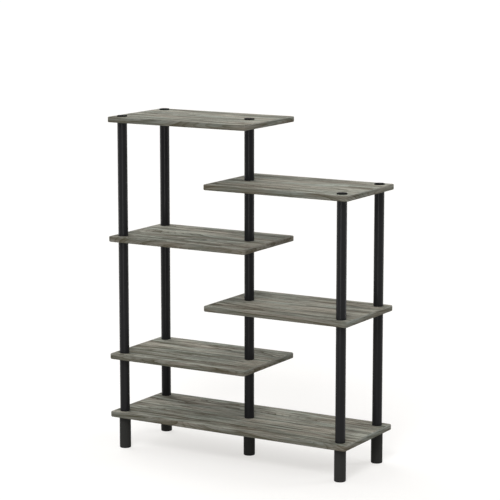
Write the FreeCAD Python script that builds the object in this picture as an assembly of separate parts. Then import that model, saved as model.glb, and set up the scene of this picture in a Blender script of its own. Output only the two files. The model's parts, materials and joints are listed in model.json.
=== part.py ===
"""Interleaved display shelf: six wood-print boards on five posts of tubes that screw together.

Millimetres, +Z up. The front faces -Y and the origin lies on the floor under the middle of the unit.
Half-length boards stand at alternate levels on the left and the right, and the middle post carries
all of them. A post is a stack: leg, board, tube, board, tube and so on, with a cap on top. Each tube
has a stud plug pressed into its lower end and a socket plug into its upper end. A stud goes down
through the hole in a board into the socket of the tube or leg below, and clamps the board.
"""
import FreeCAD, Part
import math
import os
from FreeCAD import Vector

# The whole unit. Each half-length board runs past the axis of the middle post by the overhang.
rack_width = 798.0
rack_depth = 295.0
middle_overhang = 70.0
short_bay_height = 161.5
leg_height = 97.0
post_end_inset = 33.0
post_edge_inset = 33.0

# Boards: a particleboard core with a thick plastic band bent round its edges
board_thickness = 16.0
core_corner_radius = 7.0
band_thickness = 3.0
band_round = 2.5

# Tubes
tube_diameter = 29.0
tube_wall = 1.5

# The screw joint that every stud and socket shares
stud_diameter = 14.0
stud_wall = 2.5
stud_tip_chamfer = 1.5
thread_engagement = 15.0
thread_clearance = 0.2
board_hole_clearance = 0.5
socket_wall = 1.8
socket_spare_depth = 2.0
socket_floor = 1.5

# Plugs pressed into the ends of the tubes: a flange, and fins whose tips grip the tube
flange_thickness = 2.0
fin_length = 18.0
fin_thickness = 2.0
fin_lead_in = 1.5
fin_count = 4
press_clearance = 0.1

# Legs: hollow mouldings, each closed by a glide that meets the floor
leg_diameter = 34.0
leg_wall = 2.5
leg_deck = 3.0
leg_web_reach = 60.0
leg_web_thickness = 2.0
leg_web_count = 4
glide_thickness = 4.0
glide_round = 2.5
glide_spigot_height = 8.0
glide_spigot_wall = 2.0

# Caps on top of the posts
cap_diameter = 30.0
cap_height = 3.5
cap_round = 1.2

# How far a cutting tool runs past the face that it leaves
overrun = 1.0

# A rounding takes at most this share of the wall that it is cut into
largest_round_share = 0.9

# A rounded rim is turned in this many slopes
rim_slopes = 3

# Worked out from the sizes above
half_board_length = rack_width / 2 + middle_overhang
board_pitch = short_bay_height + board_thickness
tube_radius = tube_diameter / 2
bore_radius = tube_radius - tube_wall
leg_radius = leg_diameter / 2
leg_bore_radius = leg_radius - leg_wall
stud_radius = stud_diameter / 2
stud_core_radius = stud_radius - stud_wall
stud_length = board_thickness + thread_engagement
stud_chamfer = min(stud_tip_chamfer, largest_round_share * stud_wall)
socket_radius = stud_radius + thread_clearance
socket_outer_radius = socket_radius + socket_wall
socket_depth = thread_engagement + socket_spare_depth
socket_bottom = -socket_depth - socket_floor
fin_reach = math.sqrt((bore_radius - press_clearance) ** 2 - (fin_thickness / 2) ** 2)

FULL, LEFT, RIGHT, MIDDLE = "full", "left", "right", "middle"

# One board at each level, from the bottom up: its name and the side of the unit that it covers
boards = [
    ("bottom_shelf", FULL),
    ("left_lower_shelf", LEFT),
    ("right_lower_shelf", RIGHT),
    ("left_middle_shelf", LEFT),
    ("right_upper_shelf", RIGHT),
    ("left_top_shelf", LEFT),
]

# Each post's name, its place in plan, and its side of the unit
post_x = rack_width / 2 - post_end_inset
post_y = rack_depth / 2 - post_edge_inset
posts = [
    ("left_front", -post_x, -post_y, LEFT),
    ("left_rear", -post_x, post_y, LEFT),
    ("middle", 0, 0, MIDDLE),
    ("right_front", post_x, -post_y, RIGHT),
    ("right_rear", post_x, post_y, RIGHT),
]


def underside(level):
    """Height of the underside of the board at a level."""
    return leg_height + level * board_pitch


def carries(post_side, board_side):
    """Whether a post goes through a board."""
    return board_side == FULL or post_side in (MIDDLE, board_side)


def upright_face(*outline):
    """A flat face on the XZ plane inside a closed outline of (radius, height) points."""
    points = [Vector(radius, 0, height) for radius, height in outline]
    return Part.Face(Part.makePolygon(points + points[:1]))


def turned(*outline):
    """A solid turned about Z from a closed outline of (radius, height) points."""
    return upright_face(*outline).revolve(Vector(0, 0, 0), Vector(0, 0, 1), 360)


def rounded_rim(radius, height, rounding, way):
    """Outline points that round a rim over in slopes. The way is 1 at the top and -1 at the foot."""
    points = []
    for index in range(rim_slopes + 1):
        turn = math.pi / 2 * index / rim_slopes
        inset = rounding * (1 - math.cos(turn))
        drop = rounding * (1 - math.sin(turn))
        points.append((radius - inset, height - way * drop))
    return points[::way]


def webs(thickness, count, *outline):
    """Flat upright webs spaced evenly about Z, each with the same (radius, height) outline."""
    plate = upright_face(*outline).extrude(Vector(0, thickness, 0))
    plate.translate(Vector(0, -thickness / 2, 0))
    copies = []
    for index in range(count):
        web = plate.copy()
        web.rotate(Vector(0, 0, 0), Vector(0, 0, 1), 360 * index / count)
        copies.append(web)
    return copies


def joined(*pieces):
    """One solid from pieces that overlap."""
    return pieces[0].fuse(list(pieces[1:])).removeSplitter()


def placed(shape, x, y, z):
    """A copy of a shape moved to its place in the unit."""
    copy = shape.copy()
    copy.translate(Vector(x, y, z))
    return copy


def board_length(side):
    """A board's length along X."""
    return rack_width if side == FULL else half_board_length


def board_middle(side):
    """Where the middle of a board lies along X."""
    shift = (rack_width - board_length(side)) / 2
    return -shift if side == LEFT else shift


def board_core(side):
    """The particleboard core, with a hole for the stud of each post that goes through it."""
    length = board_length(side) - 2 * band_thickness
    width = rack_depth - 2 * band_thickness
    slab = Part.makeBox(length, width, board_thickness,
                        Vector(board_middle(side) - length / 2, -width / 2, 0))
    uprights = [edge for edge in slab.Edges if edge.BoundBox.ZLength > board_thickness / 2]
    drills = [
        Part.makeCylinder(stud_radius + board_hole_clearance, board_thickness + 2 * overrun,
                          Vector(x, y, -overrun))
        for name, x, y, post_side in posts
        if carries(post_side, side)
    ]
    return slab.makeFillet(core_corner_radius, uprights).cut(drills)


def edge_band(side):
    """The strip bent round a core, with its long outer edges trimmed round. One profile runs along
    each side of the board and turns at the corner after it."""
    rounding = min(band_round, largest_round_share * band_thickness)
    bend_radius = core_corner_radius + band_thickness
    profile = upright_face(
        (core_corner_radius, 0),
        *rounded_rim(bend_radius, 0, rounding, -1),
        *rounded_rim(bend_radius, board_thickness, rounding, 1),
        (core_corner_radius, board_thickness),
    )
    half_length = board_length(side) / 2 - bend_radius
    half_width = rack_depth / 2 - bend_radius
    corners = [
        (half_length, half_width, half_width),
        (-half_length, half_width, half_length),
        (-half_length, -half_width, half_width),
        (half_length, -half_width, half_length),
    ]
    strips = []
    for index, (x, y, half_run) in enumerate(corners):
        straight = profile.extrude(Vector(0, -2 * half_run, 0))
        bend = profile.revolve(Vector(0, 0, 0), Vector(0, 0, 1), 90)
        for piece in (straight, bend):
            piece.rotate(Vector(0, 0, 0), Vector(0, 0, 1), 90 * index)
            strips.append(placed(piece, x, y, 0))
    return placed(joined(*strips), board_middle(side), 0, 0)


def tube(bay_height):
    """A plain tube between the flanges of its two plugs. Zero height is the board under it."""
    low = flange_thickness
    high = bay_height - flange_thickness
    return turned((bore_radius, low), (tube_radius, low), (tube_radius, high), (bore_radius, high))


def studded(*head):
    """A head turned in one piece with the hollow stud under it. Zero height is the head's seat."""
    tip = -stud_length
    return turned(
        (0, -stud_wall),
        (stud_core_radius, -stud_wall),
        (stud_core_radius, tip),
        (stud_radius - stud_chamfer, tip),
        (stud_radius, tip + stud_chamfer),
        (stud_radius, 0),
        *head,
    )


def fins(root, flange, mouth):
    """The fins of a plug, from a root radius outwards and from its flange to the mouth, which is the
    end that goes into the tube first and has a lead-in."""
    lead_in = math.copysign(fin_lead_in, mouth - flange)
    return webs(
        fin_thickness, fin_count,
        (root, flange),
        (fin_reach, flange),
        (fin_reach, mouth - lead_in),
        (fin_reach - fin_lead_in, mouth),
        (root, mouth),
    )


def stud_plug():
    """The plug in the lower end of a tube. Zero height is the top of the board under it."""
    body = studded((tube_radius, 0), (tube_radius, flange_thickness), (0, flange_thickness))
    return joined(body, *fins(0, flange_thickness / 2, flange_thickness + fin_length))


def socket(deck_radius, deck_thickness):
    """A blind socket that hangs from a round deck. Zero height is the top of the deck."""
    return turned(
        (socket_radius, 0),
        (deck_radius, 0),
        (deck_radius, -deck_thickness),
        (socket_outer_radius, -deck_thickness),
        (socket_outer_radius, socket_bottom),
        (0, socket_bottom),
        (0, -socket_depth),
        (socket_radius, -socket_depth),
    )


def socket_plug():
    """The plug in the upper end of a tube. Zero height is the underside of the board over it."""
    root = socket_outer_radius - socket_wall / 2
    return joined(socket(tube_radius, flange_thickness),
                  *fins(root, -flange_thickness / 2, -flange_thickness - fin_length))


def leg():
    """The leg moulding. Zero height is the underside of the bottom board."""
    foot = glide_thickness - leg_height
    wall = turned(
        (leg_bore_radius, -leg_deck / 2),
        (leg_bore_radius, foot),
        (leg_radius, foot),
        (leg_radius, -leg_deck / 2),
    )
    gussets = webs(
        leg_web_thickness, leg_web_count,
        (socket_outer_radius - socket_wall / 2, -leg_deck / 2),
        (leg_bore_radius + leg_wall / 2, -leg_deck / 2),
        (leg_bore_radius + leg_wall / 2, -leg_web_reach),
        (leg_bore_radius - leg_wall / 2, -leg_web_reach),
        (socket_outer_radius - socket_wall / 2, socket_bottom),
    )
    return joined(socket(leg_radius, leg_deck), wall, *gussets)


def leg_glide():
    """The glide that closes a leg. Zero height is the floor."""
    spigot_radius = leg_bore_radius - press_clearance
    spigot_top = glide_thickness + glide_spigot_height
    lead_in = glide_spigot_wall / 2
    rounding = min(glide_round, largest_round_share * glide_thickness)
    return turned(
        (0, 0),
        *rounded_rim(leg_radius, 0, rounding, -1),
        (leg_radius, glide_thickness),
        (spigot_radius, glide_thickness),
        (spigot_radius, spigot_top - lead_in),
        (spigot_radius - lead_in, spigot_top),
        (spigot_radius - glide_spigot_wall, spigot_top),
        (spigot_radius - glide_spigot_wall, glide_thickness),
        (0, glide_thickness),
    )


def cap():
    """The cap that closes a post. Zero height is the top of the board under it."""
    radius = cap_diameter / 2
    rounding = min(cap_round, largest_round_share * cap_height)
    return studded((radius, 0), *rounded_rim(radius, cap_height, rounding, 1), (0, cap_height))


def save(node, *pieces):
    """Writes one node, which holds one solid or a group of alike ones."""
    shape = pieces[0] if len(pieces) == 1 else Part.makeCompound(list(pieces))
    shape.exportStep(f"parts/{node}.step")


os.makedirs("parts", exist_ok=True)

for level, (name, side) in enumerate(boards):
    save(name, placed(board_core(side), 0, 0, underside(level)))
    save(f"{name}_edge_band", placed(edge_band(side), 0, 0, underside(level)))

caps = []
glides = []
for name, x, y, side in posts:
    levels = [level for level, (board, board_side) in enumerate(boards) if carries(side, board_side)]
    bays = [(underside(lower) + board_thickness, underside(upper))
            for lower, upper in zip(levels, levels[1:])]
    for number, (low, high) in enumerate(bays, start=1):
        save(f"{name}_tube_{number}", placed(tube(high - low), x, y, low))
    save(f"{name}_stud_plugs", *[placed(stud_plug(), x, y, low) for low, high in bays])
    save(f"{name}_socket_plugs", *[placed(socket_plug(), x, y, high) for low, high in bays])
    save(f"{name}_leg", placed(leg(), x, y, leg_height))
    glides.append(placed(leg_glide(), x, y, 0))
    caps.append(placed(cap(), x, y, underside(levels[-1]) + board_thickness))
save("leg_glides", *glides)
save("post_caps", *caps)
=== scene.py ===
"""Display shelf: grey oak print boards at alternate levels on black tubes that screw together.

Metres, in the frame's own axes: +Z up, the front faces -Y, and the floor lies at zero height.
"""
import json
import math

import bmesh
import bpy
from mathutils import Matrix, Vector

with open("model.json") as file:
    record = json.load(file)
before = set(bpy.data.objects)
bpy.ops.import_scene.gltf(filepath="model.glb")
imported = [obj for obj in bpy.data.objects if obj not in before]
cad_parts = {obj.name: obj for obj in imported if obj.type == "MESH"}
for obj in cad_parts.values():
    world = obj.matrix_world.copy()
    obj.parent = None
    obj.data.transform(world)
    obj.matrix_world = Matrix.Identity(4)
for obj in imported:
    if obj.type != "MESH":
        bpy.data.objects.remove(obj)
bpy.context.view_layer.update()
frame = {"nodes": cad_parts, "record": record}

millimetre = 0.001

# The camera stands to the right of the front and looks down a little
camera_place = Vector((3.0073, -5.1078, 1.6265))
camera_turn = math.radians(30.468)
camera_tilt = math.radians(9.662)
camera_lens_mm = 147.95
camera_film_mm = 36.0

# The floor reaches past the top of the picture
floor_reach = 60.0

# The floor is white where it is seen, and grey for the light that it sends back to the shelf. Its glow
# covers this share of the shadow that falls on it.
floor_white = "#ffffff"
floor_grey = "#b4b4b2"
floor_glow = "#fffdfa"
floor_glow_share = 0.63

# The room's colour and the strength of its even light. Where it is seen it is at full white.
room_white = "#ffffff"
room_strength = 0.55
white_strength = 1.0

# Three soft lamps high up round the shelf. Each has a name, a bearing in degrees from the front towards
# the right, degrees down from overhead, a width in degrees and a strength.
lamps = [
    ("front_lamp", 18, 46, 18, 1.27),
    ("rear_left_lamp", -118, 52, 47, 1.20),
    ("rear_right_lamp", 134, 63, 18, 0.52),
]

# Weak strip lamps that stand on the floor round the shelf. Each has a name, a bearing in degrees from
# the front towards the right, and a power in watts. The front one draws the soft line down the upper
# tubes, and the others light the tubes' edges.
strip_width = 0.12
strip_height = 1.2
strip_distance = 2.2
strips = [("front_strip", 18, 10.0), ("left_strip", -76, 5.5), ("right_strip", 127, 4.0)]

# Oak print on the boards and on their edges: the darkest, middle and palest colour, the colour of the
# cracks and pores, and where the first three lie among the tones of the print
board_colours = ("#555248", "#817f79", "#a7a7a1")
board_marks = "#454138"
edge_colours = ("#4d493e", "#686660", "#848380")
edge_marks = "#3c3932"
colour_places = (0.15, 0.50, 0.85)

# Every layer of the print has a tone from dark at 0 to pale at 1, and this one changes nothing
plain_tone = 0.5

# Streaks of the print. Each kind has a length and a width in millimetres, and how much it weighs.
# Real fibres are under 1 mm wide, and these are drawn coarser so that they show from a few steps.
# Raggedness is how many finer layers of noise break up a streak, a ring or any other noise below.
board_streaks = {
    "tone band": (500, 40, 0.8),
    "growth streak": (260, 13, 1.4),
    "mottle": (70, 14, 0.75),
    "fibre": (90, 3.5, 0.9),
    "fine fibre": (30, 1.6, 0.5),
}
edge_streaks = {
    "tone band": (300, 12, 0.7),
    "growth streak": (120, 4.0, 0.8),
    "fibre": (50, 2.0, 0.6),
}
streak_raggedness = 2.0

# Growth rings, where the saw ran through them at a slant. Their loops are smooth and reach this many
# millimetres along and across the board. Each kind has how many rings lie between the lowest and the
# highest place of the noise, how much of a ring's width is its dark line, and how much it weighs.
ring_length = 700
ring_width = 75
ring_raggedness = 0.0
ring_kinds = {
    "broad ring": (12, 0.45, 0.34),
    "fine ring": (60, 0.40, 0.26),
}

# Dark marks. Each kind has a length and a width in millimetres, how ragged it is, the noise levels at
# which it begins and is full, and how dark it then is.
mark_kinds = {
    "crack": (120, 5, 3.0, 0.62, 0.72, 0.8),
    "pore": (16, 2.4, 1.0, 0.60, 0.75, 0.6),
}

# Tone across a board: bands of the print and a darker strip along the front edge, as millimetres from
# the front edge and a tone
board_tones = [
    (0, 0.40), (10, 0.43), (20, 0.56), (30, 0.34), (48, 0.38), (66, 0.54), (112, 0.50),
    (120, 0.40), (130, 0.56), (205, 0.54), (215, 0.42), (228, 0.52), (295, 0.50),
]

# Painted shade on an edge band: its tone grows from dark at its lower rim to pale at its upper rim, as
# millimetres above its lower rim and a tone. The underside of the lowest board and the distance from
# board to board say where the rims are.
edge_shade_tones = [(0, 0.35), (16, 0.56)]
lowest_board = 97.0
board_pitch = 177.5

# Painted highlight: the upper rim of the band is paler at the ends of a board, along the arris, and
# closer to the tone of the board's top. It fades out round the corners, between these distances from
# the middle line of the board.
end_rim_highlight_tones = [(0, 0.50), (13, 0.50), (14, 0.90), (16, 0.90)]
end_rim_full = 132.0
end_rim_gone = 147.5

# The fibres drift this many millimetres to either side. The drift changes gently over this length and
# this width.
drift_reach = 14
drift_length = 300
drift_width = 80
drift_raggedness = 1.0

# The grey leans a little to green in some places and to brown in others, each this long and wide in
# millimetres. The lean is full below the first noise level and above the second.
green_cast = "#f1f9f2"
brown_cast = "#faf3e8"
cast_length = 180
cast_width = 30
cast_levels = (0.35, 0.65)

# The figure of the boards' print changes with the height, and wholly over this many millimetres. The
# boards are much closer to each other, so their figures are alike but not the same.
figure_height = 1200.0

# The boards are a little rougher than their edges, and both are smoother by this much where the print
# is palest. Both shine little. Their emboss is this many millimetres deep, and its slopes show by
# this share.
board_roughness = 0.85
edge_roughness = 0.80
pale_smoothing = 0.1
print_ior = 1.5
print_shine = 0.12
emboss_depth = 0.25
emboss_strength = 0.5

# Die lines down the tubes. Real ones are under 0.5 mm apart, and these are drawn coarser so that they
# show. They fade along this length in millimetres. Their depth is in millimetres too, and their slopes
# show by this share.
die_line_gap = 1.6
die_line_length = 400
die_line_raggedness = 2.0
die_line_depth = 0.1
die_line_strength = 0.25

# The tubes' shade and roughness, each from a dark line to a pale one, and how much they shine
tube_shades = ("#1a1a1b", "#222223")
tube_roughness = (0.22, 0.30)
tube_ior = 1.53
tube_shine = 0.08

# Mouldings. Each has its slot, its material's name, a dark and a pale shade, a roughness, how much it
# shines and the size of its pebble in millimetres. A real pebble is about 0.2 mm, and it is drawn
# coarser so that it shows. The legs are the palest and the caps the mattest. The pebble's depth is in
# millimetres too, and its slopes show by this share.
mouldings = [
    ("moulded_plug", "polypropylene_plug_moulded_black", "#111111", "#1b1b1b", 0.50, 0.20, 0.9),
    ("leg", "polypropylene_leg_moulded_black", "#282827", "#343432", 0.60, 0.05, 1.2),
    ("glide", "polyethylene_glide_moulded_black", "#141414", "#1e1e1e", 0.60, 0.10, 1.2),
    ("cap", "polypropylene_cap_moulded_black", "#101010", "#181818", 0.85, 0.04, 0.9),
]
moulding_ior = 1.49
pebble_raggedness = 1.0
pebble_depth = 0.08
pebble_strength = 0.3

# Sockets of the Mix node when it mixes colours
MIX_SHARE, MIX_A, MIX_B, MIX_RESULT = 0, 6, 7, 2


def linear(colour):
    """A colour written as sRGB hex, as the linear red, green, blue and alpha of a shader."""
    values = [int(colour[place:place + 2], 16) / 255 for place in (1, 3, 5)]
    return [v / 12.92 if v <= 0.04045 else ((v + 0.055) / 1.055) ** 2.4 for v in values] + [1.0]


def add(tree, kind, inputs=None, **settings):
    """Adds one node. Its inputs get a value each, or a link from another node's socket."""
    made = tree.nodes.new(kind)
    for name, value in settings.items():
        setattr(made, name, value)
    for key, value in (inputs or {}).items():
        if isinstance(value, bpy.types.NodeSocket):
            tree.links.new(value, made.inputs[key])
        else:
            made.inputs[key].default_value = value
    return made


def new_finish(name):
    """An empty material, its node tree and its surface output."""
    material = bpy.data.materials.new(name)
    material.use_nodes = True
    tree = material.node_tree
    tree.nodes.clear()
    return material, tree, add(tree, "ShaderNodeOutputMaterial")


def set_stops(ramp, stops):
    """Gives a new colour ramp, which has two stops, its own. Each is a position and a linear colour."""
    ramp.elements.remove(ramp.elements[1])
    ramp.elements[0].position, ramp.elements[0].color = stops[0]
    for position, colour in stops[1:]:
        ramp.elements.new(position).color = colour


def streaks(tree, grain, length, width, raggedness=streak_raggedness):
    """Noise drawn out along the grain into streaks of a length and a width in millimetres."""
    stretched = add(tree, "ShaderNodeVectorMath", {
        0: grain,
        1: [1 / (size * millimetre) for size in (length, width, figure_height)],
    }, operation="MULTIPLY")
    noise = add(tree, "ShaderNodeTexNoise", {
        "Vector": stretched.outputs[0],
        "Scale": 1.0,
        "Detail": raggedness,
    })
    return noise.outputs["Fac"]


def drifting(tree, grain):
    """The grain's coordinates with the fibres drifting slowly to either side."""
    drift = add(tree, "ShaderNodeMapRange", {
        "Value": streaks(tree, grain, drift_length, drift_width, drift_raggedness),
        "To Min": -drift_reach * millimetre,
        "To Max": drift_reach * millimetre,
    })
    sideways = add(tree, "ShaderNodeCombineXYZ", {"Y": drift.outputs[0]})
    bent = add(tree, "ShaderNodeVectorMath", {0: grain, 1: sideways.outputs[0]}, operation="ADD")
    return bent.outputs[0]


def growth_rings(tree, grain):
    """The kinds of growth ring, each with its weight. Every ring falls from pale to a dark line."""
    slope = streaks(tree, grain, ring_length, ring_width, ring_raggedness)
    rings = []
    for count, line_share, weight in ring_kinds.values():
        climb = add(tree, "ShaderNodeMath", {0: slope, 1: count}, operation="MULTIPLY")
        place = add(tree, "ShaderNodeMath", {0: climb.outputs[0]}, operation="FRACT")
        line = add(tree, "ShaderNodeMapRange", {
            "Value": place.outputs[0],
            "From Min": 1 - line_share,
            "To Min": plain_tone + line_share / 2,
            "To Max": plain_tone + line_share / 2 - 1,
        })
        rings.append((line.outputs[0], weight))
    return rings


def fibre_streaks(tree, fibres, kinds):
    """The kinds of streak along the fibres, each with its weight."""
    return [(streaks(tree, fibres, length, width), weight) for length, width, weight in kinds.values()]


def tone_bands(tree, place, start, tones):
    """Bands of tone by the place in metres. The tones' lengths count from a start in millimetres."""
    reach = tones[-1][0]
    share = add(tree, "ShaderNodeMapRange", {
        "Value": place,
        "From Min": start * millimetre,
        "From Max": (start + reach) * millimetre,
    })
    tone = add(tree, "ShaderNodeValToRGB", {"Fac": share.outputs[0]})
    set_stops(tone.color_ramp, [(at / reach, (level, level, level, 1.0)) for at, level in tones])
    return tone.outputs["Color"]


def weighed_sum(tree, layers):
    """The plain tone, and how far each layer is above or below it, times the layer's weight."""
    total = plain_tone
    for layer, weight in layers:
        above = add(tree, "ShaderNodeMath", {0: layer, 1: plain_tone}, operation="SUBTRACT")
        total = add(tree, "ShaderNodeMath", {
            0: above.outputs[0],
            1: weight,
            2: total,
        }, operation="MULTIPLY_ADD").outputs[0]
    return total


def dark_marks(tree, fibres):
    """How dark the cracks and pores make each place, from 0 to 1."""
    darkest = 0.0
    for length, width, raggedness, begins, full, darkness in mark_kinds.values():
        mark = add(tree, "ShaderNodeMapRange", {
            "Value": streaks(tree, fibres, length, width, raggedness),
            "From Min": begins,
            "From Max": full,
            "To Max": darkness,
        })
        darkest = add(tree, "ShaderNodeMath", {
            0: darkest,
            1: mark.outputs[0],
        }, operation="MAXIMUM").outputs[0]
    return darkest


def colour_cast(tree, fibres):
    """A tint that changes slowly between a lean to green and a lean to brown."""
    lean = add(tree, "ShaderNodeMapRange", {
        "Value": streaks(tree, fibres, cast_length, cast_width),
        "From Min": cast_levels[0],
        "From Max": cast_levels[1],
    })
    return add(tree, "ShaderNodeMix", {
        MIX_SHARE: lean.outputs[0],
        MIX_A: linear(green_cast),
        MIX_B: linear(brown_cast),
    }, data_type="RGBA").outputs[MIX_RESULT]


def print_oak(tree, output, fibres, layers, colours, mark_colour, roughness):
    """Matt plastic printed with the sum of the layers, which on the edge bands also hold painted shade
    and a painted highlight, with an emboss that follows the print.
    """
    tone = weighed_sum(tree, layers)
    ink = add(tree, "ShaderNodeValToRGB", {"Fac": tone})
    set_stops(ink.color_ramp, list(zip(colour_places, map(linear, colours))))
    marks = dark_marks(tree, fibres)
    marked = add(tree, "ShaderNodeMix", {
        MIX_SHARE: marks,
        MIX_A: ink.outputs["Color"],
        MIX_B: linear(mark_colour),
    }, data_type="RGBA")
    tinted = add(tree, "ShaderNodeMix", {
        MIX_SHARE: 1.0,
        MIX_A: marked.outputs[MIX_RESULT],
        MIX_B: colour_cast(tree, fibres),
    }, data_type="RGBA", blend_type="MULTIPLY")
    height = add(tree, "ShaderNodeMath", {0: tone, 1: marks}, operation="SUBTRACT")
    sheen = add(tree, "ShaderNodeMapRange", {
        "Value": height.outputs[0],
        "To Min": roughness,
        "To Max": roughness - pale_smoothing,
    })
    emboss = add(tree, "ShaderNodeBump", {
        "Height": height.outputs[0],
        "Strength": emboss_strength,
        "Distance": emboss_depth * millimetre,
    })
    surface = add(tree, "ShaderNodeBsdfPrincipled", {
        "Base Color": tinted.outputs[MIX_RESULT],
        "Roughness": sheen.outputs[0],
        "IOR": print_ior,
        "Specular IOR Level": print_shine,
        "Normal": emboss.outputs[0],
    })
    tree.links.new(surface.outputs[0], output.inputs[0])


def melamine_grey_oak():
    """Melamine laminate, a printed paper pressed in resin. It gives a matt grey oak with no depth
    of its own, whose grain runs along each board, with a shallow emboss along the fibres."""
    material, tree, output = new_finish("melamine_laminate_grey_oak")
    grain = add(tree, "ShaderNodeTexCoord").outputs["Object"]
    fibres = drifting(tree, grain)
    across = add(tree, "ShaderNodeSeparateXYZ", {0: fibres}).outputs["Y"]
    layers = growth_rings(tree, grain) + fibre_streaks(tree, fibres, board_streaks)
    layers.append((tone_bands(tree, across, -board_tones[-1][0] / 2, board_tones), 1.0))
    print_oak(tree, output, fibres, layers, board_colours, board_marks, board_roughness)
    return material


def edge_band_grey_oak():
    """ABS edge band, extruded and printed with the same oak. Its grain follows the edge all round,
    so it runs along X on the long edges and along Y on the ends. It is a shade darker."""
    material, tree, output = new_finish("abs_edge_band_grey_oak")
    place = add(tree, "ShaderNodeTexCoord").outputs["Object"]
    along = add(tree, "ShaderNodeVectorMath", {0: place, 1: (1.0, 1.0, 0.0)}, operation="DOT_PRODUCT")
    apart = add(tree, "ShaderNodeSeparateXYZ", {0: place})
    grain = add(tree, "ShaderNodeCombineXYZ", {"X": along.outputs["Value"], "Y": apart.outputs["Z"]})
    fibres = drifting(tree, grain.outputs[0])
    over_lowest = add(tree, "ShaderNodeMath", {
        0: apart.outputs["Z"],
        1: lowest_board * millimetre,
    }, operation="SUBTRACT")
    over_rim = add(tree, "ShaderNodeMath", {
        0: over_lowest.outputs[0],
        1: board_pitch * millimetre,
    }, operation="MODULO")
    layers = growth_rings(tree, grain.outputs[0]) + fibre_streaks(tree, fibres, edge_streaks)
    # Painted shade, darker towards the lower rim of each band
    layers.append((tone_bands(tree, over_rim.outputs[0], 0, edge_shade_tones), 1.0))
    # Painted highlight along the upper rim at the ends of the board
    off_middle = add(tree, "ShaderNodeMath", {0: apart.outputs["Y"]}, operation="ABSOLUTE")
    at_end = add(tree, "ShaderNodeMapRange", {
        "Value": off_middle.outputs[0],
        "From Min": end_rim_gone * millimetre,
        "From Max": end_rim_full * millimetre,
    })
    layers.append((tone_bands(tree, over_rim.outputs[0], 0, end_rim_highlight_tones), at_end.outputs[0]))
    print_oak(tree, output, fibres, layers, edge_colours, edge_marks, edge_roughness)
    return material


def extruded_tube_black():
    """PVC tube, extruded and cooled in a sizing sleeve. It is satin black, with faint die lines
    down its length that break its long highlight."""
    material, tree, output = new_finish("pvc_tube_extruded_black")
    place = add(tree, "ShaderNodeTexCoord")
    lines = add(tree, "ShaderNodeVectorMath", {
        0: place.outputs["Object"],
        1: [1 / (size * millimetre) for size in (die_line_gap, die_line_gap, die_line_length)],
    }, operation="MULTIPLY")
    die = add(tree, "ShaderNodeTexNoise", {
        "Vector": lines.outputs[0],
        "Scale": 1.0,
        "Detail": die_line_raggedness,
    })
    shade = add(tree, "ShaderNodeMix", {
        MIX_SHARE: die.outputs["Fac"],
        MIX_A: linear(tube_shades[0]),
        MIX_B: linear(tube_shades[1]),
    }, data_type="RGBA")
    gloss = add(tree, "ShaderNodeMapRange", {
        "Value": die.outputs["Fac"],
        "To Min": tube_roughness[0],
        "To Max": tube_roughness[1],
    })
    relief = add(tree, "ShaderNodeBump", {
        "Height": die.outputs["Fac"],
        "Strength": die_line_strength,
        "Distance": die_line_depth * millimetre,
    })
    surface = add(tree, "ShaderNodeBsdfPrincipled", {
        "Base Color": shade.outputs[MIX_RESULT],
        "Roughness": gloss.outputs[0],
        "IOR": tube_ior,
        "Specular IOR Level": tube_shine,
        "Normal": relief.outputs[0],
    })
    tree.links.new(surface.outputs[0], output.inputs[0])
    return material


def moulded_black(name, dark, pale, roughness, shine, pebble_size):
    """Black plastic moulded in a tool whose walls are spark eroded, which leaves a fine even
    pebble. It spreads the light, so there is no sharp highlight."""
    material, tree, output = new_finish(name)
    place = add(tree, "ShaderNodeTexCoord")
    pebble = add(tree, "ShaderNodeTexNoise", {
        "Vector": place.outputs["Object"],
        "Scale": 1 / (pebble_size * millimetre),
        "Detail": pebble_raggedness,
    })
    shade = add(tree, "ShaderNodeMix", {
        MIX_SHARE: pebble.outputs["Fac"],
        MIX_A: linear(dark),
        MIX_B: linear(pale),
    }, data_type="RGBA")
    relief = add(tree, "ShaderNodeBump", {
        "Height": pebble.outputs["Fac"],
        "Strength": pebble_strength,
        "Distance": pebble_depth * millimetre,
    })
    surface = add(tree, "ShaderNodeBsdfPrincipled", {
        "Base Color": shade.outputs[MIX_RESULT],
        "Roughness": roughness,
        "IOR": moulding_ior,
        "Specular IOR Level": shine,
        "Normal": relief.outputs[0],
    })
    tree.links.new(surface.outputs[0], output.inputs[0])
    return material


def give_finishes():
    """Gives every node of the shelf the finish that the record names for it."""
    finishes = {
        "wood_print_board": melamine_grey_oak(),
        "edge_band": edge_band_grey_oak(),
        "tube": extruded_tube_black(),
    }
    for slot, name, dark, pale, roughness, shine, pebble_size in mouldings:
        finishes[slot] = moulded_black(name, dark, pale, roughness, shine, pebble_size)

    for part in frame["record"]["subparts"]:
        for place in frame["nodes"][part["node"]].material_slots:
            place.material = finishes[part["material_slot"]]


def seen_directly(tree):
    """1 where the camera, a reflection or clear plastic looks at the studio, else 0."""
    rays = add(tree, "ShaderNodeLightPath")
    mirrored = add(tree, "ShaderNodeMath", {
        0: rays.outputs["Is Camera Ray"],
        1: rays.outputs["Is Glossy Ray"],
    }, operation="MAXIMUM")
    return add(tree, "ShaderNodeMath", {
        0: mirrored.outputs[0],
        1: rays.outputs["Is Transmission Ray"],
    }, operation="MAXIMUM").outputs[0]


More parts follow.
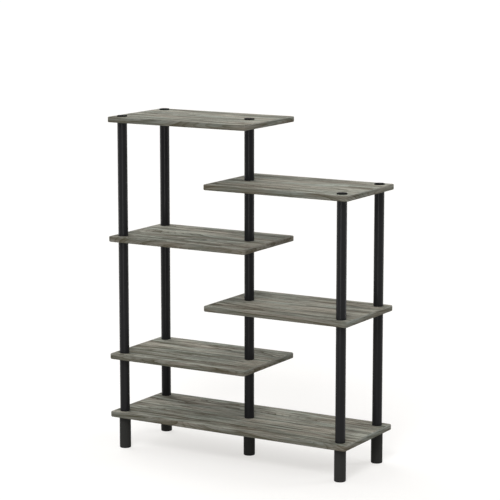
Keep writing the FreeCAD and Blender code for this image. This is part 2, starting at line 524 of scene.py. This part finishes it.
def studio_floor():
    """A pale floor. Seen directly it is white but for the soft shadow of the shelf."""
    material, tree, output = new_finish("painted_floor_white")
    seen = seen_directly(tree)
    paint = add(tree, "ShaderNodeMix", {
        MIX_SHARE: seen,
        MIX_A: linear(floor_grey),
        MIX_B: linear(floor_white),
    }, data_type="RGBA")
    matt = add(tree, "ShaderNodeBsdfDiffuse", {"Color": paint.outputs[MIX_RESULT]})
    glow = add(tree, "ShaderNodeEmission", {"Color": linear(floor_glow), "Strength": white_strength})
    share = add(tree, "ShaderNodeMath", {0: seen, 1: floor_glow_share}, operation="MULTIPLY")
    both = add(tree, "ShaderNodeMixShader", {
        0: share.outputs[0],
        1: matt.outputs[0],
        2: glow.outputs[0],
    })
    tree.links.new(both.outputs[0], output.inputs[0])

    sheet = bmesh.new()
    bmesh.ops.create_grid(sheet, x_segments=1, y_segments=1, size=floor_reach)
    mesh = bpy.data.meshes.new("studio_floor")
    sheet.to_mesh(mesh)
    sheet.free()
    mesh.materials.append(material)
    floor = bpy.data.objects.new("studio_floor", mesh)
    bpy.context.scene.collection.objects.link(floor)


def studio_room():
    """White all round where it is seen, and a low even light on the shelf."""
    room = bpy.data.worlds.new("studio_room")
    bpy.context.scene.world = room
    room.use_nodes = True
    tree = room.node_tree
    tree.nodes.clear()
    wall = linear(room_white)
    light = add(tree, "ShaderNodeBackground", {"Color": wall, "Strength": room_strength})
    white = add(tree, "ShaderNodeBackground", {"Color": wall, "Strength": white_strength})
    both = add(tree, "ShaderNodeMixShader", {
        0: seen_directly(tree),
        1: light.outputs[0],
        2: white.outputs[0],
    })
    output = add(tree, "ShaderNodeOutputWorld")
    tree.links.new(both.outputs[0], output.inputs[0])


def towards(bearing, down):
    """The direction at a bearing from the front towards the right, and an angle down from overhead."""
    turn, tilt = math.radians(bearing), math.radians(down)
    return Vector((math.sin(turn) * math.sin(tilt), -math.cos(turn) * math.sin(tilt), math.cos(tilt)))


def studio_lamp(name, kind, place):
    """A lamp whose light comes from the direction of a place."""
    data = bpy.data.lights.new(name, kind)
    lamp = bpy.data.objects.new(name, data)
    lamp.rotation_mode = "QUATERNION"
    lamp.rotation_quaternion = place.to_track_quat("Z", "Y")
    bpy.context.scene.collection.objects.link(lamp)
    return lamp


def studio_lamps():
    """The lamps high up, and the strip lamps round the shelf."""
    for name, bearing, down, width, strength in lamps:
        lamp = studio_lamp(name, "SUN", towards(bearing, down))
        lamp.data.energy = strength
        lamp.data.angle = math.radians(width)

    for name, bearing, power in strips:
        place = strip_distance * towards(bearing, 90)
        strip = studio_lamp(name, "AREA", place)
        strip.data.shape = "RECTANGLE"
        strip.data.size = strip_width
        strip.data.size_y = strip_height
        strip.data.energy = power
        strip.location = place + Vector((0.0, 0.0, strip_height / 2))
        strip.visible_camera = False


def studio_camera():
    """The camera at the angle of the photograph."""
    data = bpy.data.cameras.new("camera")
    data.lens = camera_lens_mm
    data.sensor_width = camera_film_mm
    data.clip_end = 2 * floor_reach
    camera = bpy.data.objects.new("camera", data)
    camera.location = camera_place
    camera.rotation_euler = (math.pi / 2 - camera_tilt, 0.0, camera_turn)
    bpy.context.scene.collection.objects.link(camera)
    bpy.context.scene.camera = camera


give_finishes()
studio_floor()
studio_room()
studio_lamps()
studio_camera()
bpy.context.scene.view_settings.view_transform = "Standard"
